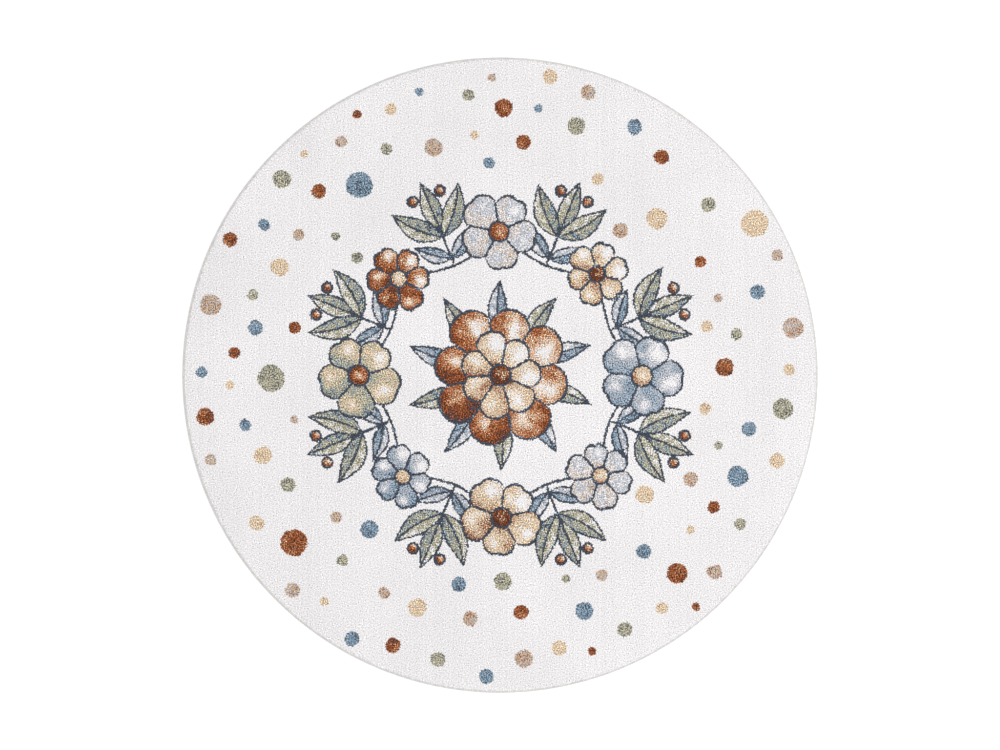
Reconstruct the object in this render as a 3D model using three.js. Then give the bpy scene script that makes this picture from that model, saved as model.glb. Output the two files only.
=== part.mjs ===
// A round short-pile rug, woven in one piece and overcast all round its rim.
// Millimetres, +Z up. The origin is the centre of the underside, on the floor.
import * as THREE from 'three';

// Driving dimensions
const rugDiameter = 1200; // over the overcast edge
const rugThickness = 10; // floor to pile tips
const groundWeave = 2; // the woven backing that holds the pile
const edgeWidth = 5; // overcast edge, seen from above
const edgeHeight = 7.5; // overcast edge, pressed lower than the pile
const clearance = 0.3; // between the two pieces
const shoulder = 2; // round of the pile's upper corner
const selvedgeBottom = 1.4; // the selvedge rides over the yarn that is wound beneath it
const backChamfer = 2; // slope of the back's edge
const wallShare = 0.3; // share of the edge that is yarn outside the selvedge
const beadShare = 0.45; // share of the edge that is rounded
const turns = 144; // flat steps round the circle
const shoulderSteps = 5;
const beadSteps = 8;

// Sizes worked out from them
const rimRadius = rugDiameter / 2;
const pileRadius = rimRadius - edgeWidth; // where the standing pile ends
const grooveRadius = rimRadius - edgeWidth * wallShare; // bottom of the groove in the edge
const selvedgeRadius = grooveRadius - clearance;
const selvedgeTop = selvedgeBottom + groundWeave;

const creamPile = new THREE.MeshStandardMaterial({ color: 0xece9e6, roughness: 0.95, metalness: 0 });
const edgeYarn = new THREE.MeshStandardMaterial({ color: 0xdad7ce, roughness: 0.9, metalness: 0 });

// Turns a profile of [radius, height] pairs round the upright axis.
function turned(name, profile, material) {
  const points = profile.map(([radius, height]) => new THREE.Vector2(radius, height));
  const geometry = new THREE.LatheGeometry(points, turns);
  geometry.rotateX(Math.PI / 2);
  const mesh = new THREE.Mesh(geometry, material);
  mesh.name = name;
  return mesh;
}

// Points of a round corner about a centre, from one angle to another in degrees.
function roundCorner(centreRadius, centreHeight, across, up, from, to, steps) {
  const points = [];
  for (let step = 0; step <= steps; step += 1) {
    const angle = THREE.MathUtils.degToRad(from + ((to - from) * step) / steps);
    points.push([centreRadius + across * Math.cos(angle), centreHeight + up * Math.sin(angle)]);
  }
  return points;
}

// Rug: flat underside, a thin selvedge at the rim, upright pile and a rounded shoulder.
function rug() {
  const profile = [
    [0, 0],
    [pileRadius - backChamfer, 0],
    [pileRadius - clearance, selvedgeBottom],
    [selvedgeRadius, selvedgeBottom],
    [selvedgeRadius, selvedgeTop],
    [pileRadius, selvedgeTop],
    ...roundCorner(pileRadius - shoulder, rugThickness - shoulder, shoulder, shoulder, 0, 90, shoulderSteps),
    [0, rugThickness],
  ];
  return turned('rug', profile, creamPile);
}

// Overcast edge: yarn wound round the selvedge, a rounded bead open on its inner side.
function overcastEdge() {
  const innerRadius = pileRadius + clearance;
  const halfHeight = edgeHeight / 2;
  const beadRound = edgeWidth * beadShare;
  const beadCentre = rimRadius - beadRound;
  const profile = [
    [innerRadius, 0],
    ...roundCorner(beadCentre, halfHeight, beadRound, halfHeight, -90, 90, beadSteps),
    [innerRadius, edgeHeight],
    [innerRadius, selvedgeTop + clearance],
    [grooveRadius, selvedgeTop + clearance],
    [grooveRadius, selvedgeBottom - clearance],
    [innerRadius, selvedgeBottom - clearance],
    [innerRadius, 0],
  ];
  return turned('edge_overcast', profile, edgeYarn);
}

const roundRug = new THREE.Group();
roundRug.add(rug(), overcastEdge());

export default roundRug;
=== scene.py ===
"""A round short-pile rug: a woven pile in ten yarns, and an overcast edge round it.

The design is drawn straight on the grid of tufts: a medallion of flowers and leaves, with a
confetti of dots round it. Each facet of the pile's face shows two by two tufts.
Lengths are in metres, and the design's sizes are given in millimetres times MM.
"""

from __future__ import annotations

import logging
import math
from dataclasses import astuple, dataclass, field
from enum import Enum

import bpy
import numpy as np
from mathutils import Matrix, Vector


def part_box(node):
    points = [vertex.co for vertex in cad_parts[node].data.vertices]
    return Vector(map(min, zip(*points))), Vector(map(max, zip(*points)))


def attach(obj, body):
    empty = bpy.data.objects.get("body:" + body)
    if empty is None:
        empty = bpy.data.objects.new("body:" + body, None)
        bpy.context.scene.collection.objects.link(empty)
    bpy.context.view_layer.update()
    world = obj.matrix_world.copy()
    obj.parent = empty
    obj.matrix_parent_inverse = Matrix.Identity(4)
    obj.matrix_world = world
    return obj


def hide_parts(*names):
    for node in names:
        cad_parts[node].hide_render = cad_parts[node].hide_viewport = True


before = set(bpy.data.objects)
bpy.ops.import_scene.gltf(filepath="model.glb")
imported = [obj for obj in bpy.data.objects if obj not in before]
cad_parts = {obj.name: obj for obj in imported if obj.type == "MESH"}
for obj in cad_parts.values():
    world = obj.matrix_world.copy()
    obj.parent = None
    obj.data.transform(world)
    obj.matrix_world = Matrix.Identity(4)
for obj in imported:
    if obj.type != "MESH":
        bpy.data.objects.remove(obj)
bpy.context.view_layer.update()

MM = 0.001
# A length that is too small to matter.
TINY = 1e-6
# Length of a unit square's diagonal, rounded up.
DIAGONAL = 1.42
GAMMA = 2.2
RUG_NODE = "rug"
EDGE_NODE = "edge_overcast"
LOG = logging.getLogger("round_rug")

# By number: the Map Range node's inputs from low, from high, to low and to high, and the Mix
# node's inputs and output for colours.
SPAN = (1, 2, 3, 4)
FIRST_COLOUR, SECOND_COLOUR = 6, 7
MIXED_COLOUR = 2


def linear(colour: str) -> tuple[float, float, float]:
    """Turns an sRGB hex colour into linear red, green and blue.

    Args:
        colour: the colour as #RRGGBB.

    Returns:
        The three linear values, from 0 to 1.
    """
    shares = [int(colour[start : start + 2], 16) / 255 for start in (1, 3, 5)]
    return tuple(s / 12.92 if s <= 0.04045 else ((s + 0.055) / 1.055) ** 2.4 for s in shares)


def two_tone(dark: str, light: str) -> dict[int, tuple[float, ...]]:
    """Gives two sRGB hex colours under the numbers of a Mix node's inputs."""
    return {FIRST_COLOUR: (*linear(dark), 1), SECOND_COLOUR: (*linear(light), 1)}


def wave_scale(length: float) -> float:
    """Gives the Wave Texture's scale for a wavelength: its bands repeat every 2 pi / (20 scale)."""
    return math.pi / (10 * length)


def bell(value: np.ndarray, middle: float, width: float) -> np.ndarray:
    """Gives 1 where a value is at the middle, and falls to 1 / e at a width from it."""
    return np.exp(-(((value - middle) / width) ** 2))


def around(radius: np.ndarray | float, angle: np.ndarray | float) -> tuple[np.ndarray, np.ndarray]:
    """Gives the point, or the points, at a radius and an angle from the rug's centre."""
    return radius * np.cos(angle), radius * np.sin(angle)


@dataclass(frozen=True)
class Lustre:
    """How a surface shines, the same all over it.

    Attributes:
        roughness: of the surface.
        ior: of its material.
        gloss: specular level.
        sheen: strength of the soft sheen that fibres have at a low angle.
    """

    roughness: float
    ior: float = 1.5
    gloss: float = 0.5
    sheen: float = 0.0

    def inputs(self) -> dict[str, float]:
        """Gives the values under the names of the shader's inputs."""
        return dict(zip(("Roughness", "IOR", "Specular IOR Level", "Sheen Weight"), astuple(self)))


@dataclass(frozen=True)
class Shade:
    """How the values of a pattern shade a colour.

    Attributes:
        low: value up to which the colour is darkest.
        high: value from which it is lightest.
        dark: share of the colour that shows up to the low value.
        light: share of it from the high value on.
    """

    low: float
    high: float
    dark: float
    light: float

    def inputs(self) -> dict[int, float]:
        """Gives the values under the numbers of a Map Range node's inputs."""
        return dict(zip(SPAN, astuple(self)))


@dataclass(frozen=True)
class Relief:
    """How high a pattern stands.

    Attributes:
        height: height of the pattern.
        strength: share of it that the light shows.
    """

    height: float
    strength: float

    def inputs(self) -> dict[str, float]:
        """Gives the values under the names of a Bump node's inputs."""
        return dict(zip(("Distance", "Strength"), astuple(self)))


@dataclass(frozen=True)
class Noise:
    """A random pattern.

    Attributes:
        size: size of its coarsest patches.
        detail: number of finer layers in it.
        roughness: strength of a layer, as a share of the one before.
    """

    size: float
    detail: float
    roughness: float = 0.5

    def inputs(self) -> dict[str, float]:
        """Gives the values under the names of a Noise Texture node's inputs."""
        return {"Scale": 1 / self.size, "Detail": self.detail, "Roughness": self.roughness}


class Surface:
    """A node material in the making.

    Attributes:
        material: the material.
        shader: the shader that its nodes lead to.
    """

    def __init__(self, name: str, lustre: Lustre) -> None:
        """Starts the material.

        Args:
            name: name of the material.
            lustre: how it shines.
        """
        self.material = bpy.data.materials.new(name)
        self.material.use_nodes = True
        self.shader = self.material.node_tree.nodes["Principled BSDF"]
        self.feed(self.shader, lustre.inputs())

    def feed(self, node: bpy.types.Node, inputs: dict) -> None:
        """Sets or links the inputs of a node.

        Args:
            node: the node.
            inputs: a value, or an output to link from, for each input's name or number.
        """
        for name, value in inputs.items():
            if isinstance(value, bpy.types.NodeSocket):
                self.material.node_tree.links.new(value, node.inputs[name])
            else:
                node.inputs[name].default_value = value

    def add(self, kind: str, inputs: dict, output: int | str = 0, **settings: str) -> bpy.types.NodeSocket:
        """Adds a node with its settings and links.

        Args:
            kind: Blender's name of the node's type, without the ShaderNode that it starts with.
            inputs: a value, or an output to link from, for each input's name or number.
            output: name or number of the wanted output.
            **settings: the node's properties.

        Returns:
            The wanted output.
        """
        node = self.material.node_tree.nodes.new("ShaderNode" + kind)
        for name, value in settings.items():
            setattr(node, name, value)
        self.feed(node, inputs)
        return node.outputs[output]

    def shaded(
        self,
        colour: bpy.types.NodeSocket | tuple[float, float, float],
        patterns: list[tuple[bpy.types.NodeSocket, Shade]],
    ) -> bpy.types.NodeSocket:
        """Shades a colour by patterns: it is scaled by the product of the shares that they leave.

        Args:
            colour: the colour.
            patterns: each pattern, and how its values shade the colour.

        Returns:
            The shaded colour.
        """
        light = 1.0
        for pattern, shade in patterns:
            share = self.add("MapRange", {0: pattern, **shade.inputs()})
            light = self.add("Math", {0: light, 1: share}, operation="MULTIPLY")
        return self.add("VectorMath", {0: colour, "Scale": light}, operation="SCALE")

    def finish(self, colour: bpy.types.NodeSocket, **others: bpy.types.NodeSocket) -> bpy.types.Material:
        """Links the finished colour, and others by name, to the shader, and gives the material."""
        self.feed(self.shader, {"Base Color": colour, **others})
        return self.material


class Yarn(Enum):
    """The dyed pile yarns, each with its sRGB colour and its mottle.

    The mottle is how far the lightness strays from tuft to tuft, as a share: partly the yarn's
    own uneven tone, and partly painted shade between the tufts and their fibres. Dark and strong
    colours show that painted shade more than the pale ones.
    """

    CREAM = ("#EEEBEC", 0.068)
    OCHRE = ("#D7C1A5", 0.22)
    RUST = ("#834725", 0.44)
    SAGE = ("#A5A18D", 0.3)
    BLUE = ("#778B9C", 0.36)
    NAVY = ("#3D4552", 0.24)
    TAUPE = ("#C2AA93", 0.19)
    GREY = ("#B4B7BF", 0.14)
    BROWN = ("#4E2C1E", 0.24)
    COPPER = ("#C9936F", 0.2)

    def __init__(self, colour: str, mottle: float) -> None:
        """Keeps the yarn's colour and mottle under their names."""
        self.colour = colour
        self.mottle = mottle

    @property
    def code(self) -> int:
        """The yarn's place in the list of yarns, which the loom's grid holds."""
        return list(Yarn).index(self)


CREAM, OCHRE, RUST, SAGE, BLUE, NAVY, TAUPE, GREY, BROWN, COPPER = Yarn


class Wash(Enum):
    """Runs of yarns from light to dark, that a shaded shape is dithered from."""

    SAND = (CREAM, CREAM, OCHRE, OCHRE, TAUPE, RUST, BROWN)
    CLAY = (CREAM, OCHRE, COPPER, RUST, RUST, BROWN, NAVY)
    SKY = (CREAM, CREAM, GREY, GREY, BLUE, BLUE, NAVY)
    STONE = (CREAM, GREY, GREY, CREAM, TAUPE, GREY, BLUE)
    LEAF = (CREAM, CREAM, SAGE, SAGE, SAGE, BLUE, NAVY)
    MOSS = (CREAM, OCHRE, OCHRE, SAGE, SAGE, BLUE, NAVY)
    BARK = (OCHRE, OCHRE, RUST, BROWN, BROWN, NAVY)
    INK = (GREY, BLUE, NAVY, NAVY, NAVY, BROWN)
    STRAW = (CREAM, OCHRE, OCHRE, OCHRE, OCHRE, TAUPE, RUST)
    BRICK = (OCHRE, COPPER, RUST, RUST, RUST, BROWN, NAVY)
    REED = (CREAM, SAGE, SAGE, SAGE, SAGE, NAVY, NAVY)
    SLATE = (CREAM, BLUE, BLUE, BLUE, BLUE, NAVY, NAVY)
    ROSE = (CREAM, GREY, TAUPE, TAUPE, TAUPE, RUST, BROWN)


@dataclass
class Loom:
    """The square grid of tufts inside the rug's face, with one yarn for each tuft.

    Attributes:
        radius: radius of the face that the grid has to cover.
        pitch: distance from tuft to tuft, both ways.
        line: width of a drawn outline.
        ink_tone: tone of an outline in its wash.
        cloud_waves: shortest and longest wave of the smooth cloud.
        drift: how far the smooth cloud moves the tone.
        fray: how far a tuft may lean out of its place, as a share of the pitch.
        seed: start of the random numbers.
        random: the random numbers, which the whole rug draws from.
        x: each tuft's place to the right of the middle.
        y: its place above the middle.
        yarn: code of each tuft's yarn.
        threshold: each tuft's own value from 0 to 1, for dithering.
        cloud: a smooth random field.
    """

    radius: float
    pitch: float
    line: float = 5 * MM
    ink_tone: float = 0.54
    cloud_waves: tuple[float, float] = (12 * MM, 50 * MM)
    drift: float = 0.06
    fray: float = 0.3
    seed: int = 11
    random: np.random.Generator = field(init=False)
    x: np.ndarray = field(init=False)
    y: np.ndarray = field(init=False)
    yarn: np.ndarray = field(init=False)
    threshold: np.ndarray = field(init=False)
    cloud: np.ndarray = field(init=False)

    def __post_init__(self) -> None:
        """Lays out the grid in plain cream, and draws its dither thresholds.

        The thresholds are the ranks of a fine field's values, so they fill 0 to 1 evenly.
        """
        half = 2 * math.ceil(self.radius / self.pitch / 2) + 2
        steps = (np.arange(-half, half) + 0.5) * self.pitch
        self.random = np.random.default_rng(self.seed)
        leans = self.random.normal(size=(2, 2 * half, 2 * half)) * self.fray * self.pitch
        self.x, self.y = np.meshgrid(steps, steps) + leans
        self.yarn = np.full(self.x.shape, CREAM.code, dtype=np.int8)
        ranks = np.argsort(np.argsort(self.fine(), axis=None))
        self.threshold = ranks.reshape(self.x.shape) / self.x.size
        self.cloud = self.mottle(*self.cloud_waves)

    def fine(self) -> np.ndarray:
        """Draws a random field without broad clumps.

        It is a normal draw for each tuft, less the mean of the nine draws round it.

        Returns:
            A value for each tuft, with mean 0 and spread of about 1.
        """
        draw = self.random.normal(size=self.x.shape)
        steps = (-1, 0, 1)
        return draw - sum(np.roll(draw, (up, over), (0, 1)) for up in steps for over in steps) / 9

    def mottle(self, shortest: float, longest: float, waves: int = 40) -> np.ndarray:
        """Makes a smooth random field, as a sum of plane waves in random directions.

        Args:
            shortest: shortest wavelength.
            longest: longest wavelength.
            waves: number of waves.

        Returns:
            A value for each tuft, with mean 0 and spread of about 1.
        """
        heading = self.random.uniform(0, math.tau, waves)
        length = self.random.uniform(shortest, longest, waves)
        phase = self.random.uniform(0, math.tau, waves)
        total = np.zeros(self.x.shape)
        for angle, wave, start in zip(heading, length, phase):
            way = self.x * math.cos(angle) + self.y * math.sin(angle)
            total += np.cos(math.tau * way / wave + start)
        return total * math.sqrt(2 / waves)

    def local(self, origin: tuple[float, float], heading: float) -> tuple[np.ndarray, np.ndarray]:
        """Gives each tuft's place along and across a direction.

        Args:
            origin: the point that both are measured from.
            heading: the direction, as an angle from +X.

        Returns:
            The distances along the direction, and to its left.
        """
        dx, dy = self.x - origin[0], self.y - origin[1]
        along = dx * math.cos(heading) + dy * math.sin(heading)
        across = dy * math.cos(heading) - dx * math.sin(heading)
        return along, across

    def shade(self, where: np.ndarray, tone: np.ndarray | float, wash: Wash, grain: float = 0.44) -> None:
        """Dithers a wash into the tufts of a mask.

        The tone strays by the tuft's own threshold and by the smooth cloud. Times the wash's
        steps, its nearest whole number counts the yarns of the wash.

        Args:
            where: mask of the tufts.
            tone: from 0, the lightest yarn, to 1, the darkest.
            wash: the run of yarns.
            grain: share of the wash that mixes at any one tone.
        """
        steps = len(wash.value) - 1
        stray = grain * (self.threshold - 0.5) + self.drift * self.cloud
        count = np.clip(np.rint((tone + stray) * steps), 0, steps).astype(int)
        codes = np.array([yarn.code for yarn in wash.value], dtype=np.int8)
        self.yarn[where] = codes[count[where]]

    def trace(self, away: np.ndarray, reach: float = 0.5, within: np.ndarray | bool = True) -> None:
        """Draws an outline, in navy with some blue and brown.

        Args:
            away: distance of each tuft from the outline's middle.
            reach: distance that the outline covers, as a share of the line's width.
            within: mask that it stays inside.
        """
        self.shade(within & (np.abs(away) < self.line * reach), self.ink_tone, Wash.INK)


@dataclass(frozen=True)
class Leaf:
    """A pointed leaf on a bowed midrib, light on one side and dark on the other.

    Attributes:
        root: where it leaves the stem.
        heading: its direction, as an angle from +X.
        length: from root to tip.
        width: at its widest.
        bow: sideways bow of the midrib, as a share of the length.
        wash: its yarns.
        forward: power of the way along it, which carries the widest place towards the root.
        tone: its plain tone.
        halves: how much darker one half is, and lighter the other.
        crease: how sharply one half turns into the other.
        veins: number of veins.
        vein_slant: how far a vein runs forward, as a share of the space between two veins.
        vein_tone: how far the veins move the tone.
        root_tone: how much darker the root is.
        outline: reach of its outline.
        rib: reach of the drawn midrib.
        rib_end: where that ends, as a share of the length.
    """

    root: tuple[float, float]
    heading: float
    length: float
    width: float
    bow: float
    wash: Wash
    forward: float = 0.8
    tone: float = 0.42
    halves: float = 0.2
    crease: float = 3.0
    veins: int = 5
    vein_slant: float = 0.9
    vein_tone: float = 0.1
    root_tone: float = 0.2
    outline: float = 0.75
    rib: float = 0.4
    rib_end: float = 0.9

    def draw(self, loom: Loom) -> None:
        """Draws the leaf.

        The half width is the sine of pi times a power of the way along. The midrib bows as a
        parabola. The tone steps from light to dark across it, the veins are a slanting wave, and
        the root is darker.

        Args:
            loom: the grid to draw on.
        """
        along, across = loom.local(self.root, self.heading)
        way = np.clip(along / self.length, 0, 1)
        midrib = self.bow * self.length * 4 * way * (1 - way)
        half = np.maximum(self.width / 2 * np.sin(math.pi * way**self.forward), TINY)
        side = (across - midrib) / half
        inside = (along > 0) & (along < self.length) & (np.abs(side) < 1)
        veins = self.vein_tone * np.cos(math.tau * (self.veins * way - self.vein_slant * np.abs(side)))
        tone = self.tone - self.halves * np.tanh(self.crease * side) + veins + self.root_tone * (1 - way)
        loom.shade(inside, tone, self.wash)
        loom.trace(half * (1 - np.abs(side)), self.outline, inside)
        loom.trace(half * side, self.rib, inside & (way < self.rib_end))


@dataclass(frozen=True)
class Petal:
    """The shape and the tones of a petal.

    Places across it run from -1 to 1, and along it from 0 to 1.

    Attributes:
        dip: how deep the rim falls between two petals, as a share of the flower's radius.
        dip_power: how late it falls, towards the petal's side.
        notch: depth of the notch in the tip, as a share of the flower's radius.
        notch_width: its width across.
        uneven: how far one petal may be longer or shorter than the next, as a share.
        tone: its plain tone.
        stray: how far one petal's may be from the next's.
        root: how much darker the root is.
        root_reach: how far that reaches along.
        rim: how much darker the rim is.
        rim_power: how late that starts, towards the tip.
        slope: how much darker one side is, and lighter the other.
        lamp: how much lighter the flower's upper right is, and darker its lower left.
        spot: how much lighter the light spot is.
        spot_across: its middle and its width across.
        spot_along: its middle and its length along.
        streak: how far the streaks move the tone.
        streaks: number of streaks.
    """

    dip: float = 0.26
    dip_power: float = 2.4
    notch: float = 0.05
    notch_width: float = 0.2
    uneven: float = 0.06
    tone: float = 0.4
    stray: float = 0.05
    root: float = 0.45
    root_reach: float = 0.42
    rim: float = 0.24
    rim_power: int = 6
    slope: float = 0.14
    lamp: float = 0.24
    spot: float = 0.4
    spot_across: tuple[float, float] = (-0.25, 0.32)
    spot_along: tuple[float, float] = (0.7, 0.16)
    streak: float = 0.07
    streaks: int = 5


@dataclass(frozen=True)
class Blossom:
    """A flower seen face on: petals round an eye.

    Attributes:
        centre: its middle.
        radius: to the petals' tips.
        petals: number of petals.
        turn: angle of the first gap between petals.
        wash: the petals' yarns.
        eye: the eye's yarns.
        petal: shape and tones of the petals.
        gap_line: reach of the outline between two petals.
        gap_start: where that starts, as a share of the petal's length.
        core: radius of the eye, as a share of the radius.
        core_line: reach of its outline.
        core_tones: tone of its middle, and how much darker its rim and its lower left are.
    """

    centre: tuple[float, float]
    radius: float
    petals: int
    turn: float
    wash: Wash
    eye: Wash
    petal: Petal = Petal()
    gap_line: float = 0.45
    gap_start: float = 0.3
    core: float = 0.24
    core_line: float = 0.42
    core_tones: tuple[float, float, float] = (0.3, 0.4, 0.8)

    def draw(self, loom: Loom) -> None:
        """Draws the flower.

        The rim's radius falls with a power of the way from a petal's axis to its side, and has a
        bell-shaped notch on the axis. The tone is dark at the root, at the rim and on one side
        of each petal, and it falls towards the light at the upper right. A bell-shaped spot on
        each petal is light, and a cosine across it gives the streaks that run from its root.

        Args:
            loom: the grid to draw on.
        """
        petal = self.petal
        along, across = loom.local(self.centre, self.turn)
        away = np.hypot(along, across)
        turns = np.mod(np.arctan2(across, along) / math.tau, 1) * self.petals
        number = np.clip(turns.astype(int), 0, self.petals - 1)
        side = 2 * (turns - number) - 1
        reach = 1 + loom.random.uniform(-petal.uneven, petal.uneven, self.petals)[number]
        rim = self.radius * (reach - petal.dip * np.abs(side) ** petal.dip_power)
        rim -= self.radius * petal.notch * bell(side, 0, petal.notch_width)
        way = away / rim
        inside = way < 1
        light = (loom.x - self.centre[0] + loom.y - self.centre[1]) / (self.radius * DIAGONAL)
        tone = petal.tone + loom.random.uniform(-petal.stray, petal.stray, self.petals)[number]
        tone += petal.root * bell(way, 0, petal.root_reach)
        tone += petal.rim * np.clip(way, 0, 1) ** petal.rim_power
        tone += petal.slope * side - petal.lamp * light
        tone -= petal.spot * bell(side, *petal.spot_across) * bell(way, *petal.spot_along)
        tone += petal.streak * np.cos(petal.streaks * math.pi * side) * (1 - way)
        loom.shade(inside, tone, self.wash)
        gap = away * (1 - np.abs(side)) * math.pi / self.petals
        loom.trace(gap, self.gap_line, inside & (way > self.gap_start))
        loom.trace(away - rim + loom.line / 2)
        core = self.radius * self.core
        middle, edge, shadow = self.core_tones
        loom.shade(away < core, middle + edge * away / core - shadow * light, self.eye)
        loom.trace(away - core, self.core_line)


@dataclass(frozen=True)
class Berry:
    """A small round fruit with an outline and a light spot.

    Attributes:
        centre: its middle.
        radius: its radius.
        wash: its yarns.
        spot: place of the light spot, to the right and up, as a share of the radius.
        tone: tone of the spot.
        fall: how much darker it is at a radius from the spot.
        outline: reach of its outline.
    """

    centre: tuple[float, float]
    radius: float
    wash: Wash
    spot: float = 0.35
    tone: float = 0.1
    fall: float = 0.6
    outline: float = 0.45

    def draw(self, loom: Loom) -> None:
        """Draws the berry: its tone grows with the distance from the spot.

        Args:
            loom: the grid to draw on.
        """
        dx, dy = loom.x - self.centre[0], loom.y - self.centre[1]
        away = np.hypot(dx, dy)
        spot = self.spot * self.radius
        dark = np.hypot(dx - spot, dy - spot) / self.radius
        loom.shade(away < self.radius, self.tone + self.fall * dark, self.wash)
        loom.trace(away - self.radius + loom.line / 2, self.outline)


@dataclass(frozen=True)
class Spray:
    """Five leaves and two berries on a stem, in a gap of the ring of flowers.

    Attributes:
        ring: radius of the ring.
        angle: direction of the gap from the rug's centre.
        stem: length of the stem.
        stem_in: how far inside the ring it starts.
        leaves: (place of the root outside the ring, length, width, bow, wash) of a long leaf, a
            short one and the middle one.
        long_lean: least and most that a long leaf leans.
        short_lean: how far a short one leans.
        berry: radius of a berry.
        berry_out: how far the berries stand outside the ring.
        berry_turn: angle from the stem to a berry, seen from the rug's centre.
    """

    ring: float
    angle: float
    stem: float = 108 * MM
    stem_in: float = 40 * MM
    leaves: tuple[tuple[float, float, float, float, Wash], ...] = (
        (14 * MM, 108 * MM, 44 * MM, 0.07, Wash.LEAF),
        (-30 * MM, 75.6 * MM, 32 * MM, 0.05, Wash.SKY),
        (30 * MM, 97.2 * MM, 40 * MM, 0.0, Wash.LEAF),
    )
    long_lean: tuple[float, float] = (0.62, 0.76)
    short_lean: float = 0.9
    berry: float = 12 * MM
    berry_out: float = 98 * MM
    berry_turn: float = 0.075

    def draw(self, loom: Loom) -> None:
        """Draws the stem, the leaves and berry of each side, and the middle leaf over them.

        Args:
            loom: the grid to draw on.
        """
        along, across = loom.local(around(self.ring - self.stem_in, self.angle), self.angle)
        loom.trace(across, within=(along > 0) & (along < self.stem))
        long, short, middle = self.leaves
        for side in (-1, 1):
            self.leaf(*long, loom.random.uniform(*self.long_lean) * side).draw(loom)
            self.leaf(*short, self.short_lean * side).draw(loom)
            place = around(self.ring + self.berry_out, self.angle + self.berry_turn * side)
            Berry(place, self.berry, Wash.CLAY).draw(loom)
        self.leaf(*middle, 0.0).draw(loom)

    def leaf(self, out: float, length: float, width: float, bow: float, wash: Wash, lean: float) -> Leaf:
        """Gives a leaf of the spray, which bows to the side that it leans to."""
        root = around(self.ring + out, self.angle)
        return Leaf(root, self.angle + lean, length, width, math.copysign(bow, lean), wash)


@dataclass(frozen=True)
class Heart:
    """The big flower in the middle: leaves, petals on them, and smaller petals on those.

    Attributes:
        radius: radius of the flower.
        leaves: number of leaves under it.
        leaf: length, width and bow of one.
        root: where the leaves start, as a share of the radius.
        washes: their yarns, in turn.
        layers: (share of the radius, number of petals, turn, petals' wash, eye's wash) of the
            two layers of petals.
        petal: shape and tones of the petals.
    """

    radius: float = 132 * MM
    leaves: int = 10
    leaf: tuple[float, float, float] = (102.6 * MM, 38 * MM, 0.05)
    root: float = 0.6
    washes: tuple[Wash, Wash] = (Wash.SKY, Wash.LEAF)
    layers: tuple[tuple[float, int, float, Wash, Wash], ...] = (
        (1.0, 8, 0.2, Wash.CLAY, Wash.SAND),
        (0.62, 7, 0.5, Wash.SAND, Wash.BARK),
    )
    petal: Petal = Petal(dip=0.2, notch=0.0)

    def draw(self, loom: Loom) -> None:
        """Draws the leaves, and the layers of petals over them.

        Args:
            loom: the grid to draw on.
        """
        for leaf in range(self.leaves):
            angle = (leaf + 0.5) * math.tau / self.leaves
            root = around(self.radius * self.root, angle)
            Leaf(root, angle, *self.leaf, self.washes[leaf % 2]).draw(loom)
        for share, petals, turn, wash, eye in self.layers:
            Blossom((0, 0), self.radius * share, petals, turn, wash, eye, self.petal).draw(loom)


@dataclass(frozen=True)
class Medallion:
    """The motifs in the middle: a big flower, a ring of smaller ones on a vine, and sprays.

    Attributes:
        ring: radius of the circle that the smaller flowers stand on.
        bloom: radius of a smaller flower.
        blooms: (number of petals, share of the radius, petals' wash, eye's wash) of each one.
        sway_turn: how far one may stand beside its even place, as an angle from the centre.
        sway_out: how far it may stand inside or outside the ring.
        turns: largest angle that a flower is turned by.
        vine_in: how far the vine runs inside the ring.
        vine_wave: how far it waves.
    """

    ring: float = 268 * MM
    bloom: float = 76 * MM
    blooms: tuple[tuple[int, float, Wash, Wash], ...] = (
        (5, 1.08, Wash.SKY, Wash.SAND),
        (6, 0.82, Wash.SAND, Wash.BARK),
        (5, 1.02, Wash.STONE, Wash.CLAY),
        (6, 0.84, Wash.CLAY, Wash.SAND),
        (5, 1.06, Wash.MOSS, Wash.CLAY),
        (6, 0.80, Wash.SKY, Wash.SAND),
        (5, 1.04, Wash.SAND, Wash.BARK),
        (6, 0.86, Wash.STONE, Wash.SAND),
    )
    sway_turn: float = 0.03
    sway_out: float = 6 * MM
    turns: float = 6.0
    vine_in: float = 34 * MM
    vine_wave: float = 10 * MM

    def draw(self, loom: Loom) -> None:
        """Draws the vine and the sprays first, then the flowers, and the big flower last.

        The vine's radius waves with the cosine of the angle times the number of flowers.

        Args:
            loom: the grid to draw on.
        """
        count = len(self.blooms)
        vine = self.vine_wave * np.cos(count * np.arctan2(loom.y, loom.x)) - self.vine_in
        loom.trace(np.hypot(loom.x, loom.y) - self.ring - vine)
        for place in range(count):
            Spray(self.ring, (place + 0.5) * math.tau / count).draw(loom)
        for place, (petals, share, wash, eye) in enumerate(self.blooms):
            angle = place * math.tau / count + loom.random.uniform(-self.sway_turn, self.sway_turn)
            centre = around(self.ring + loom.random.uniform(-self.sway_out, self.sway_out), angle)
            turn = loom.random.uniform(0, self.turns)
            Blossom(centre, self.bloom * share, petals, turn, wash, eye).draw(loom)
        Heart().draw(loom)


@dataclass(frozen=True)
class Dot:
    """A round dot in one heathered colour.

    Attributes:
        centre: its middle.
        radius: its radius.
        wash: the yarns of its colour.
        tone: its tone, in the middle of its wash.
        grain: share of the wash that mixes in it.
        wobble: how far its edge strays from the circle.
    """

    centre: tuple[float, float]
    radius: float
    wash: Wash
    tone: float = 0.5
    grain: float = 0.72
    wobble: float = 0.4 * MM

    def draw(self, loom: Loom) -> None:
        """Draws the dot. Its edge follows the smooth cloud in and out."""
        away = np.hypot(loom.x - self.centre[0], loom.y - self.centre[1])
        loom.shade(away < self.radius + self.wobble * loom.cloud, self.tone, self.wash, self.grain)


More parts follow.
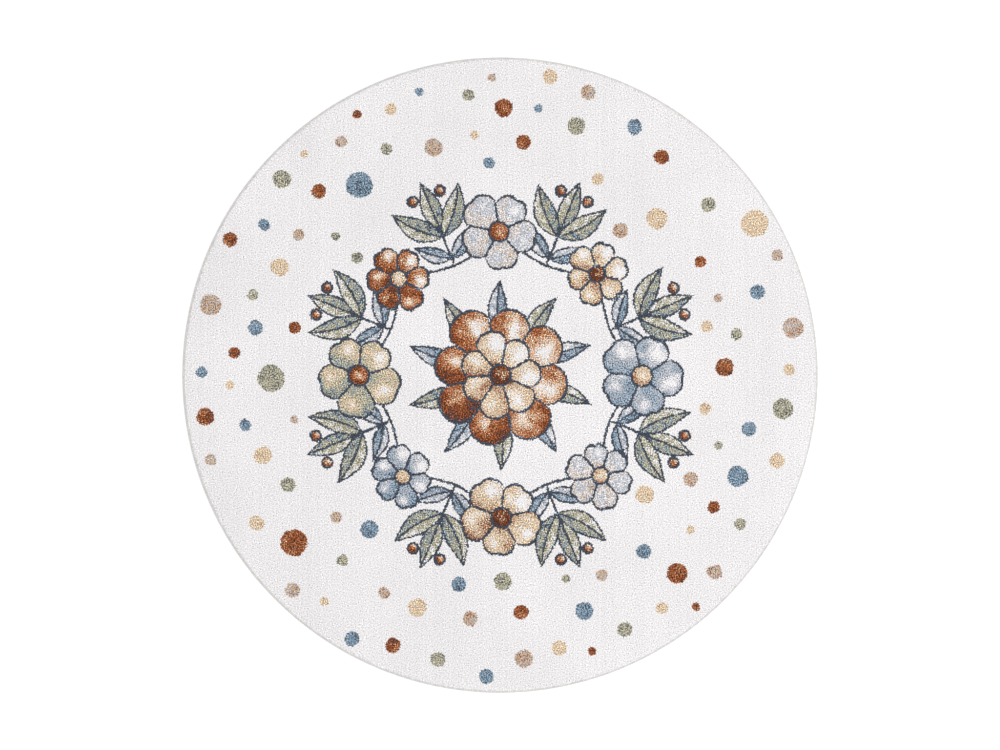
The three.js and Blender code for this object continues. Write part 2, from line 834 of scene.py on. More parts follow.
@dataclass(frozen=True)
class Confetti:
    """Dots that are scattered evenly between the medallion and the rim.

    Attributes:
        outer: radius that the dots stay inside.
        border: space between a dot and the medallion, or the outer circle.
        apart: space wanted between two dots.
        sizes: (diameter, number of dots), the largest first.
        washes: the yarns of each colour of dot.
        tries: random places that are tried for each dot.
        big: radius from which a dot wants more space.
        spread: that extra space.
        neighbours: number of dots near a new one that its colour should differ from.
        view: degrees to each side of a dot over which the medallion keeps it out.
        seed: start of the random numbers.
    """

    outer: float
    border: float = 9 * MM
    apart: float = 36 * MM
    sizes: tuple[tuple[float, int], ...] = (
        (51 * MM, 4),
        (39 * MM, 6),
        (34 * MM, 14),
        (28 * MM, 28),
        (22 * MM, 28),
        (16 * MM, 16),
    )
    washes: tuple[Wash, ...] = (Wash.STRAW, Wash.BRICK, Wash.REED, Wash.SLATE, Wash.ROSE)
    tries: int = 4000
    big: float = 16 * MM
    spread: float = 60 * MM
    neighbours: int = 5
    view: int = 5
    seed: int = 3

    def reach(self, loom: Loom) -> np.ndarray:
        """Measures what is drawn on the loom already.

        Args:
            loom: the grid that the medallion is drawn on.

        Returns:
            For each whole degree, the largest radius of a coloured tuft in view.
        """
        drawn = loom.yarn != CREAM.code
        degree = np.degrees(np.arctan2(loom.y[drawn], loom.x[drawn])).astype(int) % 360
        farthest = np.zeros(360)
        np.maximum.at(farthest, degree, np.hypot(loom.x[drawn], loom.y[drawn]))
        return np.max([np.roll(farthest, turn) for turn in range(-self.view, self.view + 1)], axis=0)

    def scatter(self, loom: Loom) -> list[Dot]:
        """Places the dots, each in the colour that is rarest among its neighbours.

        A dot takes the first random place that is as far from every other dot, rim to rim, as is
        wanted, or else the place that is farthest. The big dots want more space.

        Args:
            loom: the grid that the medallion is drawn on.

        Returns:
            The dots, the largest first.
        """
        random = np.random.default_rng(self.seed)
        reach = self.reach(loom)
        dots = []
        for radius in np.concatenate([np.full(count, size / 2) for size, count in self.sizes]):
            angle = random.uniform(0, 360, self.tries)
            away = (self.outer - radius - self.border) * np.sqrt(random.uniform(0, 1, self.tries))
            outside = away > reach[angle.astype(int)] + radius + self.border
            spots = np.transpose(around(away[outside], np.radians(angle[outside])))
            others = np.array([dot.centre for dot in dots]).reshape(-1, 2)
            gaps = np.linalg.norm(spots[:, None] - others, axis=2) - radius - [dot.radius for dot in dots]
            room = gaps.min(axis=1, initial=self.outer)
            wanted = self.apart + (self.spread if radius > self.big else 0)
            best = spots[np.argmax(np.minimum(room, wanted))]
            nearest = np.argsort(np.linalg.norm(others - best, axis=1))[: self.neighbours]
            near = [dots[other].wash for other in nearest]
            order = [self.washes[wash] for wash in random.permutation(len(self.washes))]
            dots.append(Dot(tuple(best), radius, min(order, key=near.count)))
        return dots


@dataclass(frozen=True)
class PileFinish:
    """Heat-set polypropylene pile yarn, cut short and brushed up.

    The cut ends scatter light evenly, so the pile looks matt, and their fibres catch a soft sheen
    at a low angle. Between the tufts the pile is in its own shade.

    Attributes:
        corners: the attributes that hold the yarn colours of a facet's four tufts: lower left,
            lower right, upper left and upper right.
        facet_map: the UV map that runs from 0 to 1 over each facet.
        locks: the locks of fibres. A single fibre is 0.05 mm, too fine to show.
        stretch: width of a lock over its length, which runs up the standing yarn.
        ragged: how far the boundary between two tufts wanders, as a share of a facet.
        drift: the broad, faint painted shade and light where the pile leans.
        blunt: power of the dome's height that the shade follows, so that it stays in the gaps.
        gap_shade: shade between the tufts.
        lock_shade: shade between the locks.
        drift_shade: painted shade where the pile leans away, and painted light where it leans towards one.
        dome_relief: height of the tufts' domes.
        lock_relief: height of the locks.
        lustre: dull, because the cut ends hardly shine, with the IOR of polypropylene.
    """

    corners: tuple[str, ...] = ("yarn_low_left", "yarn_low_right", "yarn_high_left", "yarn_high_right")
    facet_map: str = "facet"
    locks: Noise = Noise(0.9 * MM, 5.0, 0.78)
    stretch: float = 0.22
    ragged: float = 0.75
    drift: Noise = Noise(210 * MM, 2.0)
    blunt: float = 0.6
    gap_shade: Shade = Shade(0.0, 0.7, 0.715, 1.055)
    lock_shade: Shade = Shade(0.3, 0.7, 0.86, 1.08)
    drift_shade: Shade = Shade(0.35, 0.65, 0.97, 1.02)
    dome_relief: Relief = Relief(0.42 * MM, 0.8)
    lock_relief: Relief = Relief(0.5 * MM, 0.5)
    lustre: Lustre = Lustre(0.92, ior=1.49, gloss=0.25, sheen=0.18)

    def material(self) -> bpy.types.Material:
        """Makes the material.

        The facet's map, shaken by the noise of the locks less its middle value of 0.5, says which
        of the four tufts a point belongs to. Its colour is the tuft's yarn, shaded in the gap,
        between the locks and where the pile leans. The relief is the domes, and the locks on them.

        Returns:
            The material.
        """
        surface = Surface("polypropylene_cut_pile_heat_set", self.lustre)
        place = surface.add("TexCoord", {}, "Object")
        upright = surface.add("VectorMath", {0: place, 1: (1, 1, self.stretch)}, operation="MULTIPLY")
        lock = surface.add("TexNoise", {"Vector": upright, **self.locks.inputs()}, "Fac")
        facet = surface.add("UVMap", {}, uv_map=self.facet_map)
        wander = {0: lock.node.outputs["Color"], 1: (-0.5,) * 3}
        shake = {0: surface.add("VectorMath", wander, operation="ADD"), 1: (self.ragged,) * 3, 2: facet}
        spot = surface.add("VectorMath", shake, operation="MULTIPLY_ADD")
        dome = self.dome_height(surface, spot)
        high = surface.add("Math", {0: dome, 1: self.blunt}, operation="POWER")
        # Painted shade and light: a broad noise for where the pile leans.
        lean = surface.add("TexNoise", {"Vector": place, **self.drift.inputs()}, "Fac")
        shades = [(high, self.gap_shade), (lock, self.lock_shade), (lean, self.drift_shade)]
        colour = surface.shaded(self.yarn_colour(surface, spot), shades)
        domes = surface.add("Bump", {"Height": dome, **self.dome_relief.inputs()})
        relief = surface.add("Bump", {"Height": lock, "Normal": domes, **self.lock_relief.inputs()})
        return surface.finish(colour, Normal=relief)

    def yarn_colour(self, surface: Surface, spot: bpy.types.NodeSocket) -> bpy.types.NodeSocket:
        """Picks the yarn of the tuft that a spot on a facet belongs to.

        The right tuft of each pair is taken past the middle across, and then the upper of the
        two that are left past the middle up.

        Args:
            surface: the material in the making.
            spot: place on the facet, from 0 to 1 both ways.

        Returns:
            The colour.
        """
        colours = [surface.add("Attribute", {}, "Color", attribute_name=name) for name in self.corners]
        sides = surface.add("SeparateXYZ", {0: spot}).node.outputs
        for way in ("X", "Y"):
            past = surface.add("Math", {0: sides[way], 1: 0.5}, operation="GREATER_THAN")
            pairs = zip(colours[::2], colours[1::2])
            choices = [{0: past, FIRST_COLOUR: before, SECOND_COLOUR: after} for before, after in pairs]
            colours = [surface.add("Mix", choice, MIXED_COLOUR, data_type="RGBA") for choice in choices]
        return colours[0]

    def dome_height(self, surface: Surface, spot: bpy.types.NodeSocket) -> bpy.types.NodeSocket:
        """Gives the height of the tuft's dome under a spot.

        It is 16 s (1 - s) t (1 - t), where s and t run from 0 to 1 over the tuft, both ways.

        Args:
            surface: the material in the making.
            spot: place on the facet, from 0 to 1 both ways.

        Returns:
            The height, from 0 at the tuft's edges to 1 in its middle.
        """
        doubled = surface.add("VectorMath", {0: spot, "Scale": 2.0}, operation="SCALE")
        inner = surface.add("VectorMath", {0: doubled}, operation="FRACTION")
        rest = surface.add("VectorMath", {0: (1, 1, 1), 1: inner}, operation="SUBTRACT")
        humps = surface.add("VectorMath", {0: inner, 1: rest}, operation="MULTIPLY")
        sides = surface.add("SeparateXYZ", {0: humps}).node.outputs
        product = surface.add("Math", {0: sides["X"], 1: sides["Y"]}, operation="MULTIPLY")
        return surface.add("Math", {0: product, 1: 16.0}, operation="MULTIPLY")


@dataclass(frozen=True)
class BackingFinish:
    """Jute weft on a cotton warp, sized with glue: the rug's back, dull straw in fine ribs.

    Attributes:
        pitch: distance from weft to weft, and from warp to warp.
        rib_waver: how unevenly the wefts run.
        warp_waver: how unevenly the warps run.
        slubs: the thick and thin places in the jute.
        relief: height of the ribs.
        light: sRGB colour of the ribs' crests.
        dark: sRGB colour between them, the straw in painted shade.
        mix: share of the light colour, by the height of ribs and slubs together: painted shade
            where they stand low.
        lustre: of the glued fibres.
    """

    pitch: float
    rib_waver: float = 0.6
    warp_waver: float = 0.4
    slubs: Noise = Noise(9 * MM, 3.0)
    relief: Relief = Relief(0.6 * MM, 0.7)
    light: str = "#CDBB97"
    dark: str = "#8E7A58"
    mix: Shade = Shade(0.3, 1.3, 0.0, 1.0)
    lustre: Lustre = Lustre(0.85)

    def material(self) -> bpy.types.Material:
        """Makes the material: two crossed waves give the ribs, and a noise the jute's slubs.

        Returns:
            The material.
        """
        surface = Surface("jute_weft_glued_back", self.lustre)
        place = surface.add("TexCoord", {}, "Object")
        ribs = 1.0
        for way, waver in (("Y", self.rib_waver), ("X", self.warp_waver)):
            bands = {"Vector": place, "Scale": wave_scale(self.pitch), "Distortion": waver}
            wave = surface.add("TexWave", bands, "Fac", bands_direction=way)
            ribs = surface.add("Math", {0: ribs, 1: wave}, operation="MULTIPLY")
        slubs = surface.add("TexNoise", {"Vector": place, **self.slubs.inputs()}, "Fac")
        height = surface.add("Math", {0: ribs, 1: slubs}, operation="ADD")
        # Painted shade: the colour darkens where the ribs and slubs stand low.
        share = surface.add("MapRange", {0: height, **self.mix.inputs()})
        tones = {0: share, **two_tone(self.dark, self.light)}
        straw = surface.add("Mix", tones, MIXED_COLOUR, data_type="RGBA")
        relief = surface.add("Bump", {"Height": height, **self.relief.inputs()})
        return surface.finish(straw, Normal=relief)


@dataclass(frozen=True)
class OvercastFinish:
    """Plied polyester yarn, wound close: greyish beige, a little glossier than the pile.

    Attributes:
        turn_map: the UV map that counts the turns along the edge, and runs round its section.
        colour: sRGB colour of the yarn.
        plies: bands of the ply twist across one turn, and round the whole section.
        ply_waver: how unevenly they run, and the number of finer layers in that.
        hairs: fibres across one turn, and along it. Real ones are finer than would show.
        fuzz: the random pattern that is drawn out into fibres.
        groove_shade: shade between two turns.
        turn_shade: shade of one turn against the next.
        ply_shade: shade between two plies.
        hair_shade: shade between the fibres.
        ply_relief: height of the plies.
        hair_relief: height of the fibres.
        lustre: of the yarn, with the IOR of polyester.
    """

    turn_map: str = "turn"
    colour: str = "#E5E3E0"
    plies: tuple[float, float] = (1.3, 9.0)
    ply_waver: tuple[float, float] = (0.5, 1.0)
    hairs: tuple[float, float] = (11.0, 16.0)
    fuzz: Noise = Noise(1.0, 3.0)
    groove_shade: Shade = Shade(0.0, 0.8, 0.74, 1.0)
    turn_shade: Shade = Shade(0.0, 1.0, 0.9, 1.04)
    ply_shade: Shade = Shade(0.0, 1.0, 0.84, 1.02)
    hair_shade: Shade = Shade(0.3, 0.7, 0.95, 1.05)
    ply_relief: Relief = Relief(0.45 * MM, 0.8)
    hair_relief: Relief = Relief(0.25 * MM, 0.5)
    lustre: Lustre = Lustre(0.72, ior=1.54, gloss=0.35, sheen=0.15)

    def material(self) -> bpy.types.Material:
        """Makes the material.

        The share of the way across a turn, f, gives its round as the root of 4 f (1 - f). The
        whole number of the turn picks its own lightness. A slanting wave is the ply twist, and a
        noise that is drawn out along the yarn is its fibres.

        Returns:
            The material.
        """
        surface = Surface("polyester_overcast_yarn_plied", self.lustre)
        turns = surface.add("UVMap", {}, uv_map=self.turn_map)
        along = surface.add("SeparateXYZ", {0: turns}, "X")
        part = surface.add("Math", {0: along}, operation="FRACT")
        rest = surface.add("Math", {0: 1.0, 1: part}, operation="SUBTRACT")
        hump = surface.add("Math", {0: part, 1: rest}, operation="MULTIPLY")
        high = surface.add("Math", {0: hump, 1: 4.0}, operation="MULTIPLY")
        bulge = surface.add("Math", {0: high, 1: 0.5}, operation="POWER")
        whole = surface.add("Math", {0: along}, operation="FLOOR")
        pick = surface.add("TexWhiteNoise", {"W": whole}, noise_dimensions="1D")
        plies = surface.add("VectorMath", {0: turns, 1: (*self.plies, 0)}, operation="MULTIPLY")
        # A diagonal wave's bands are twice as far apart as a straight one's.
        waver, detail = self.ply_waver
        bands = {"Vector": plies, "Scale": 2 * wave_scale(1.0), "Distortion": waver, "Detail": detail}
        twist = surface.add("TexWave", bands, "Fac", bands_direction="DIAGONAL")
        hairs = surface.add("VectorMath", {0: turns, 1: (*self.hairs, 0)}, operation="MULTIPLY")
        hair = surface.add("TexNoise", {"Vector": hairs, **self.fuzz.inputs()}, "Fac")
        shades = [(bulge, self.groove_shade), (pick, self.turn_shade)]
        shades += [(twist, self.ply_shade), (hair, self.hair_shade)]
        colour = surface.shaded(linear(self.colour), shades)
        cords = surface.add("Bump", {"Height": twist, **self.ply_relief.inputs()})
        relief = surface.add("Bump", {"Height": hair, "Normal": cords, **self.hair_relief.inputs()})
        return surface.finish(colour, Normal=relief)


@dataclass(frozen=True)
class FloorFinish:
    """Matt white emulsion on a smooth board: almost even, with the faint drift of a roller.

    Attributes:
        light: sRGB colour where the coat is full.
        dark: sRGB colour where it is thinner.
        drift: the drift of the roller.
        lustre: of the matt coat, without gloss.
    """

    light: str = "#FAFAFA"
    dark: str = "#F6F6F6"
    drift: Noise = Noise(0.625, 2.0)
    lustre: Lustre = Lustre(0.95, gloss=0.0)

    def material(self) -> bpy.types.Material:
        """Makes the material: a broad noise mixes the two whites.

        Returns:
            The material.
        """
        surface = Surface("white_emulsion_rolled", self.lustre)
        place = surface.add("TexCoord", {}, "Object")
        drift = surface.add("TexNoise", {"Vector": place, **self.drift.inputs()}, "Fac")
        whites = {0: drift, **two_tone(self.dark, self.light)}
        return surface.finish(surface.add("Mix", whites, MIXED_COLOUR, data_type="RGBA"))


def make_piece(name: str, points: np.ndarray, faces: list[np.ndarray]) -> bpy.types.Object:
    """Makes an object from arrays of points and faces, at the origin, and links it to the scene.

    Args:
        name: name of the piece.
        points: one row of x, y and z for each vertex.
        faces: arrays of vertex numbers, each with a row for each face.

    Returns:
        The new object.
    """
    mesh = bpy.data.meshes.new(name)
    mesh.from_pydata(points.tolist(), [], [row for block in faces for row in block.tolist()])
    mesh.update()
    made = bpy.data.objects.new(name, mesh)
    bpy.context.scene.collection.objects.link(made)
    return made


@dataclass
class PileRug:
    """The rug: a face of tufts, a rounded shoulder, the selvedge, and the glued back.

    Attributes:
        pitch: distance from tuft to tuft. A facet of the mesh holds two by two tufts.
        edge_width: width of the overcast edge outside the pile.
        splay: how far the outermost tufts lean out over the edge.
        splay_foot: height where they start to lean.
        shoulder: round of the pile's upper corner.
        shoulder_steps: rings of faces on the shoulder.
        selvedge_low: height of the selvedge's underside.
        selvedge_high: height of its upper side.
        clearance: gap between the rug and the overcast edge.
        chamfer: how far the back's edge slopes in.
        stray: spread of the facet corners' heights.
        sway: spread of their places sideways, as a share of a facet.
        farthest: how far they may stray at most, in spreads.
        strand: place across the facet's map of the strand that a face of the side shows.
        streak: spread of the lightness from one warp end to the next.
        sunk_shade: painted shade on the tufts that stand lower: how far the mottle leans to its dark side.
        shades: darkest and lightest mottle.
        loom: the grid of tufts and their yarns.
    """

    pitch: float = 1.8 * MM
    edge_width: float = 5 * MM
    splay: float = 1 * MM
    splay_foot: float = 7.8 * MM
    shoulder: float = 1.2 * MM
    shoulder_steps: int = 3
    selvedge_low: float = 1.4 * MM
    selvedge_high: float = 3.4 * MM
    clearance: float = 0.3 * MM
    chamfer: float = 2 * MM
    stray: float = 0.36 * MM
    sway: float = 0.12
    farthest: float = 2.0
    strand: float = 0.25
    streak: float = 0.006
    sunk_shade: float = 0.08
    shades: tuple[float, float] = (0.35, 1.6)
    loom: Loom = field(init=False)

    def __post_init__(self) -> None:
        """Sets up the loom."""
        self.loom = Loom(self.face_radius, self.pitch)

    @property
    def facet(self) -> float:
        """Side of a facet, which is two tufts."""
        return 2 * self.pitch

    @property
    def pile_radius(self) -> float:
        """Radius where the standing pile ends."""
        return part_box(EDGE_NODE)[1][0] - self.edge_width

    @property
    def face_radius(self) -> float:
        """Radius of the flat face inside the shoulder."""
        return self.pile_radius + self.splay - self.shoulder

    @property
    def top(self) -> float:
        """Height of the pile's face."""
        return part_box(RUG_NODE)[1][2]

    @property
    def selvedge_radius(self) -> float:
        """Radius of the selvedge's edge."""
        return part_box(RUG_NODE)[1][0]

    def side(self) -> np.ndarray:
        """Gives the profile from the shoulder down to the back.

        The shoulder is a quarter circle. Under it the pile leans in to where it stands upright.

        Returns:
            A row of radius and height for each point, without the first, which is on the face.
        """
        angle = np.linspace(math.pi / 2, 0, self.shoulder_steps + 1)[1:]
        radii = self.face_radius + self.shoulder * np.cos(angle)
        heights = self.top - self.shoulder * (1 - np.sin(angle))
        below = [
            (self.pile_radius, self.splay_foot),
            (self.pile_radius, self.selvedge_high),
            (self.selvedge_radius, self.selvedge_high),
            (self.selvedge_radius, self.selvedge_low),
            (self.pile_radius - self.clearance, self.selvedge_low),
            (self.pile_radius - self.chamfer, 0),
        ]
        return np.vstack([np.column_stack([radii, heights]), below])

    def middles(self) -> list[np.ndarray]:
        """Gives the places of the facets' middles.

        Returns:
            A grid of how far each is to the right, and one of how far it is up.
        """
        cells = self.loom.yarn.shape[0] // 2
        steps = (np.arange(cells) - (cells - 1) / 2) * self.facet
        return np.meshgrid(steps, steps)

    def kept(self) -> np.ndarray:
        """Gives the mask of the facets whose middle is inside the face's circle."""
        return np.hypot(*self.middles()) < self.face_radius

    def turned(self) -> np.ndarray:
        """Marks the kept facets of two quarters, whose diagonal would run along the rim."""
        x, y = self.middles()
        return (x * y < 0)[self.kept()]

    def face(self) -> tuple[np.ndarray, np.ndarray, np.ndarray]:
        """Makes the pile's face: a square grid of facets that ends in a round rim.

        Corners that belong to fewer than four kept facets are the border. They are carried along
        their radius to the face's circle. The others stray a little, up, down and sideways. Some
        facets start at another corner, so that every diagonal runs away from the middle.

        Returns:
            The points, the corner numbers of each facet, and the border's numbers by angle.
        """
        keep = self.kept()
        shared = np.zeros(np.array(keep.shape) + 1, dtype=int)
        for down, left in ((0, 0), (0, 1), (1, 0), (1, 1)):
            shared[down : down + keep.shape[0], left : left + keep.shape[1]] += keep
        used = shared > 0
        numbers = np.full(used.shape, -1)
        numbers[used] = np.arange(used.sum())
        steps = (np.arange(used.shape[0]) - keep.shape[0] / 2) * self.facet
        x, y = (grid[used] for grid in np.meshgrid(steps, steps))
        points = np.column_stack([x, y, np.full(len(x), self.top)])
        border = shared[used] < 4
        spread = np.array([self.sway * self.facet, self.sway * self.facet, self.stray])
        draw = self.loom.random.normal(size=points.shape)
        loose = np.clip(draw, -self.farthest, self.farthest) * spread
        points[~border] += loose[~border]
        reach = np.hypot(points[border, 0], points[border, 1])
        points[border, :2] *= (self.face_radius / reach)[:, None]
        rows, columns = np.nonzero(keep)
        corners = ((rows, columns), (rows, columns + 1), (rows + 1, columns + 1), (rows + 1, columns))
        facets = np.stack([numbers[corner] for corner in corners], axis=1)
        turned = self.turned()
        facets[turned] = np.roll(facets[turned], 1, axis=1)
        ring = np.nonzero(border)[0]
        return points, facets, ring[np.argsort(np.arctan2(points[ring, 1], points[ring, 0]))]

    def build(self) -> bpy.types.Object:
        """Builds the rug's closed mesh, with its colours, its map and its two materials.

        The border's points are repeated down the side's profile as rings, and the back is a fan.

        Returns:
            The object.
        """
        points, facets, ring = self.face()
        way = points[ring, :2] / self.face_radius
        count = len(ring)
        side = self.side()
        rings = [np.column_stack([way * radius, np.full(count, height)]) for radius, height in side]
        levels = [ring] + [len(points) + level * count + np.arange(count) for level in range(len(side))]
        middle = len(points) + len(side) * count
        walls = [
            np.stack([upper, lower, np.roll(lower, -1), np.roll(upper, -1)], axis=1)
            for upper, lower in zip(levels, levels[1:])
        ]
        fan = np.stack([levels[-1], np.full(count, middle), np.roll(levels[-1], -1)], axis=1)
        piece = make_piece("woven_rug", np.vstack([points, *rings, [(0, 0, 0)]]), [facets, *walls, fan])
        self.dye(piece.data, way)
        self.dress(piece.data, count)
        return piece

    def dye(self, mesh: bpy.types.Mesh, way: np.ndarray) -> None:
        """Stores the yarn colours of each face's four tufts.

        A tuft's colour is its yarn's, times the power GAMMA of its own lightness, because the
        mottle is judged on sRGB values. The lightness is one, plus the yarn's mottle times h, a
        fine field less a share of h squared minus one, plus the streak of its warp end. The
        mottle is partly the yarn's uneven tone and partly painted shade, and the share of h
        squared is painted shade on the tufts that stand lower. The side and the back repeat the
        tufts next to them.

        Args:
            mesh: the rug's mesh.
            way: unit directions of the border's points, in order.
        """
        loom = self.loom
        height = loom.fine()
        # Painted shade: some tufts are made darker, where they stand lower.
        height -= self.sunk_shade * (height**2 - 1)
        # The yarn's mottle: its own uneven tone, with painted shade between the tufts.
        shade = 1 + np.array([yarn.mottle for yarn in Yarn])[loom.yarn] * height
        shade += self.streak * loom.random.normal(size=loom.yarn.shape[1])
        yarns = np.array([linear(yarn.colour) for yarn in Yarn])
        cloth = yarns[loom.yarn] * (np.clip(shade, *self.shades) ** GAMMA)[..., None]
        cells = loom.yarn.shape[0] // 2
        blocks = cloth.reshape(cells, 2, cells, 2, 3).transpose(0, 2, 1, 3, 4)
        near = np.floor(way * (self.face_radius - self.facet) / self.facet + cells / 2).astype(int)
        skirt = np.tile(blocks[near[:, 1], near[:, 0]], (len(self.side()) + 1, 1, 1, 1))
        faces = np.concatenate([blocks[self.kept()], skirt]).reshape(-1, 4, 3)
        for corner, name in enumerate(PileFinish.corners):
            store = mesh.attributes.new(name=name, type="FLOAT_COLOR", domain="FACE")
            colours = np.column_stack([faces[:, corner], np.ones(len(faces))])
            store.data.foreach_set("color", colours.ravel())

    def dress(self, mesh: bpy.types.Mesh, fan: int) -> None:
        """Gives the rug its facet map and its materials: pile on the face and side, and the back.

        On the side the map makes each face one strand of the standing yarn. Only the pile is
        smooth: the selvedge and the back keep their edges.

        Args:
            mesh: the rug's mesh.
            fan: number of faces in a ring of the side, and on the back.
        """
        square = np.array([(0, 0), (1, 0), (1, 1), (0, 1)], dtype=float)
        strand = np.column_stack([np.full(4, self.strand), (0, 0, 1, 1)])
        turned = self.turned()
        face = np.where(turned[:, None, None], np.roll(square, 1, axis=0), square).reshape(-1, 2)
        side = np.tile(strand, (len(self.side()) * fan, 1))
        spread = np.vstack([face, side, np.tile(square[:3], (fan, 1))])
        mesh.uv_layers.new(name=PileFinish.facet_map).data.foreach_set("uv", spread.ravel())
        mesh.materials.append(PileFinish().material())
        mesh.materials.append(BackingFinish(self.facet).material())
        number = np.arange(len(mesh.polygons))
        mesh.polygons.foreach_set("material_index", (number >= len(number) - 2 * fan).astype(int))
        pile_rings = self.shoulder_steps + 2
        mesh.polygons.foreach_set("use_smooth", number < len(turned) + pile_rings * fan)
        mesh.update()


@dataclass
class OvercastEdge:
    """Yarn wound close round the selvedge: a bead of slanting turns, open on its inner side.

    Attributes:
        width: of the edge, seen from above.
        clearance: gap between the edge and the rug.
        bead: how far the round of the bead reaches in, as a share of the width.
        wall: yarn outside the selvedge, as a share of the width.
        turn: width of one turn of yarn.
        columns: columns of faces in a turn.
        relief: depth of the groove between two turns.
        inner_relief: share of it that is left at the upper inner corner.
        slack: how far a turn may lie deeper than its neighbours.
        slant: how many turns a turn leans by, from below to above.
        groove_low: height of the lower side of the groove that holds the selvedge.
        groove_high: height of its upper side.
        groove_leans: lean of the groove's four corners, from the upper inner one round.
        arc_steps: steps of the bead's round.
        seed: start of the random numbers.
    """

    width: float = 5 * MM
    clearance: float = 0.3 * MM
    bead: float = 0.45
    wall: float = 0.3
    turn: float = 3.6 * MM
    columns: int = 4
    relief: float = 0.6 * MM
    inner_relief: float = 0.8
    slack: float = 0.2 * MM
    slant: float = 0.9
    groove_low: float = 1.1 * MM
    groove_high: float = 3.7 * MM
    groove_leans: tuple[float, ...] = (0.8, 0.6, 0.3, 0.1)
    arc_steps: int = 7
    seed: int = 23

    def section(self) -> np.ndarray:
        """Gives the closed section, from the inner foot round the bead and back through the groove.

        The bead is half an ellipse. The relief works along its normal, which is taken as the
        direction of the angle, and the lean grows from 0 below to 1 above. The foot stays on the
        floor.

        Returns:
            A row for each point: radius, height, the two parts of the relief's direction, and lean.
        """
        bottom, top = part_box(EDGE_NODE)
        height = top[2] - bottom[2]
        inner = top[0] - self.width + self.clearance
        groove = top[0] - self.wall * self.width
        angle = np.linspace(-math.pi / 2, math.pi / 2, self.arc_steps + 1)
        cosine, sine = np.cos(angle), np.sin(angle)
        radii = top[0] - self.bead * self.width * (1 - cosine)
        bead = np.column_stack([radii, height / 2 * (1 + sine), cosine, sine, (1 + sine) / 2])
        bead[0, 2:4] = 0
        low, high = self.groove_low, self.groove_high
        corners = [(inner, high), (groove, high), (groove, low), (inner, low)]
        back = [(*corner, 0, 0, lean) for corner, lean in zip(corners, self.groove_leans)]
        return np.vstack([[(inner, 0, 0, 0, 0)], bead, [(inner, height, 0, self.inner_relief, 1)], back])

    def build(self) -> bpy.types.Object:
        """Builds the closed ring.

        A point's depth under the bead is the relief times one minus the sine of pi times the way
        across its turn, plus the turn's own slack. The section is carried round the rim, and each
        point is turned back by its lean.

        Returns:
            The object.
        """
        random = np.random.default_rng(self.seed)
        section = self.section()
        turns = round(math.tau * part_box(EDGE_NODE)[1][0] / self.turn)
        column = np.arange(turns * self.columns)
        part = (column % self.columns) / self.columns
        loose = random.uniform(0, self.slack, turns)[column // self.columns]
        depth = self.relief * (1 - np.sin(math.pi * part)) + loose
        radius = section[:, 0] - depth[:, None] * section[:, 2]
        height = section[:, 1] - depth[:, None] * section[:, 3]
        angle = math.tau * (column[:, None] / self.columns - self.slant * section[:, 4]) / turns
        points = np.stack([*around(radius, angle), height], axis=2).reshape(-1, 3)
        rows = len(section)
        here = column[:, None] * rows + np.arange(rows)
        after = np.roll(here, -1, axis=0)
        up, up_after = np.roll(here, -1, axis=1), np.roll(after, -1, axis=1)
        faces = np.stack([here, after, up_after, up], axis=2).reshape(-1, 4)
        piece = make_piece("overcast_edge", points, [faces])
        self.dress(piece.data, column, rows)
        return piece

    def dress(self, mesh: bpy.types.Mesh, column: np.ndarray, rows: int) -> None:
        """Gives the edge its map, which counts the turns and the rows, and its material.

        Args:
            mesh: the edge's mesh.
            column: number of each column of faces.
            rows: number of rows of faces round the section.
        """
        left = np.repeat(column / self.columns, rows)
        right = np.repeat((column + 1) / self.columns, rows)
        low = np.tile(np.arange(rows) / rows, len(column))
        high = low + 1 / rows
        corners = np.stack([left, low, right, low, right, high, left, high], axis=1)
        mesh.uv_layers.new(name=OvercastFinish.turn_map).data.foreach_set("uv", corners.ravel())
        mesh.materials.append(OvercastFinish().material())
        mesh.polygons.foreach_set("use_smooth", np.ones(len(mesh.polygons), dtype=bool))
        mesh.update()


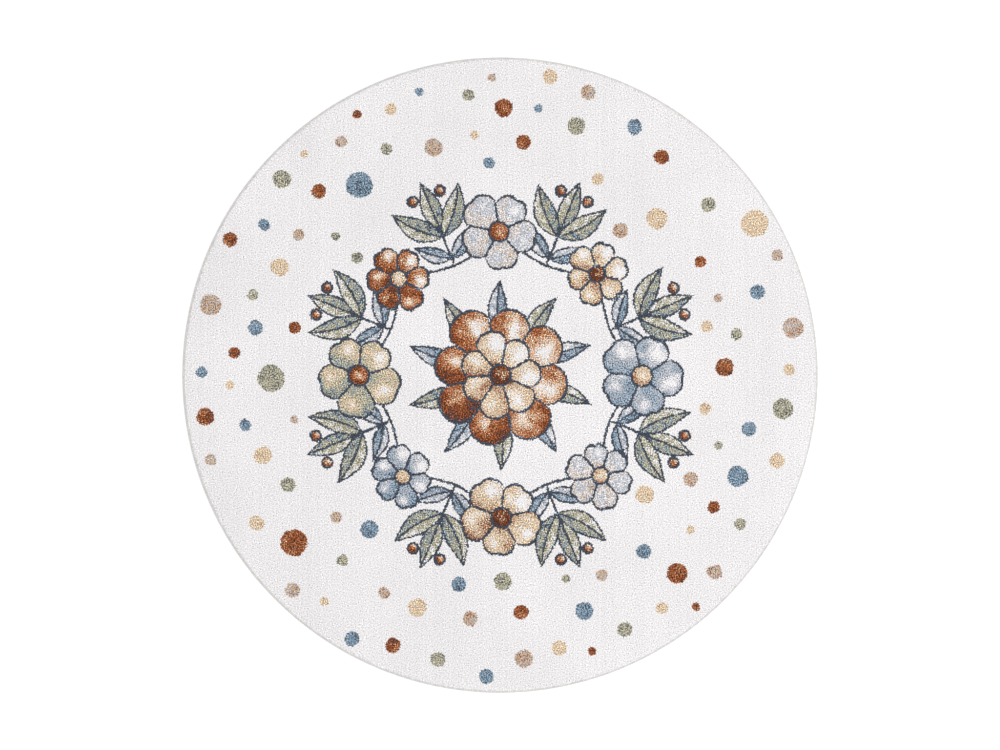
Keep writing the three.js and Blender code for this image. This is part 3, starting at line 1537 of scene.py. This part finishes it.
@dataclass
class Studio:
    """A pale floor, soft light from above, and a camera straight above the rug.

    Attributes:
        floor_size: side of the square floor.
        floor_drop: how far the floor lies under the rug.
        lens: focal length of the camera, mm.
        sensor: width of its sensor, mm.
        far: distance up to which it sees.
        image: width and height of the picture, px.
        rug_radius_px: radius of the rug in the picture.
        rug_centre_px: the rug's centre, from the picture's upper left corner.
        sky: strength of the even light from all sides.
        lamp_power: power of the large soft light, W.
        lamp_size: side of its square.
        lamp_place: where it hangs, a little to the right.
    """

    floor_size: float = 14.0
    floor_drop: float = 0.2 * MM
    lens: float = 85.0
    sensor: float = 36.0
    far: float = 50.0
    image: tuple[float, float] = (1000.0, 750.0)
    rug_radius_px: float = 317.55
    rug_centre_px: tuple[float, float] = (500.3, 375.16)
    sky: float = 0.58
    lamp_power: float = 182.0
    lamp_size: float = 3.0
    lamp_place: tuple[float, float, float] = (0.9, -0.15, 5.0)

    def build(self) -> None:
        """Makes the floor, the light and the camera."""
        self.lay_floor()
        self.light()
        self.aim_camera()

    def lay_floor(self) -> None:
        """Lays the floor just under the rug."""
        half = self.floor_size / 2
        corners = np.array([(-half, -half), (half, -half), (half, half), (-half, half)])
        corners = np.column_stack([corners, np.full(4, -self.floor_drop)])
        floor = make_piece("floor", corners, [np.array([[0, 1, 2, 3]])])
        floor.data.materials.append(FloorFinish().material())

    def light(self) -> None:
        """Sets the even light of the room and one large soft light, which points at the rug."""
        world = bpy.data.worlds.new("studio")
        world.use_nodes = True
        background = world.node_tree.nodes["Background"]
        background.inputs["Color"].default_value = (1, 1, 1, 1)
        background.inputs["Strength"].default_value = self.sky
        bpy.context.scene.world = world
        lamp = bpy.data.lights.new("softbox", "AREA")
        lamp.shape = "SQUARE"
        lamp.size = self.lamp_size
        lamp.energy = self.lamp_power
        holder = bpy.data.objects.new("softbox", lamp)
        holder.location = self.lamp_place
        holder.rotation_euler = holder.location.to_track_quat("Z", "Y").to_euler()
        holder.visible_camera = False
        bpy.context.scene.collection.objects.link(holder)

    def aim_camera(self) -> None:
        """Puts the camera straight above, so that the rug fills its place in the picture."""
        low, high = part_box(EDGE_NODE)
        pixel = high[0] / self.rug_radius_px
        distance = pixel * self.image[0] * self.lens / self.sensor
        camera = bpy.data.cameras.new("camera")
        camera.lens = self.lens
        camera.sensor_width = self.sensor
        camera.clip_end = self.far
        holder = bpy.data.objects.new("camera", camera)
        right = (self.image[0] / 2 - self.rug_centre_px[0]) * pixel
        up = (self.rug_centre_px[1] - self.image[1] / 2) * pixel
        holder.location = (right, up, distance + (low[2] + high[2]) / 2)
        bpy.context.scene.collection.objects.link(holder)
        bpy.context.scene.camera = holder
        bpy.context.scene.view_settings.view_transform = "Standard"


def report(piece: bpy.types.Object) -> None:
    """Logs a piece's name and its number of triangles."""
    mesh = piece.data
    LOG.info("%s: %d triangles", piece.name, len(mesh.loops) - 2 * len(mesh.polygons))


def main() -> None:
    logging.basicConfig(level=logging.INFO, format="%(name)s: %(message)s")
    rug = PileRug()
    Medallion().draw(rug.loom)
    for dot in Confetti(rug.face_radius).scatter(rug.loom):
        dot.draw(rug.loom)
    pile = rug.build()
    edge = OvercastEdge().build()
    for piece, node, slot in ((pile, RUG_NODE, "pile"), (edge, EDGE_NODE, "edge_yarn")):
        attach(piece, "root")
        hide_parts(node)
        report(piece)
    Studio().build()


if __name__ == "__main__":
    main()
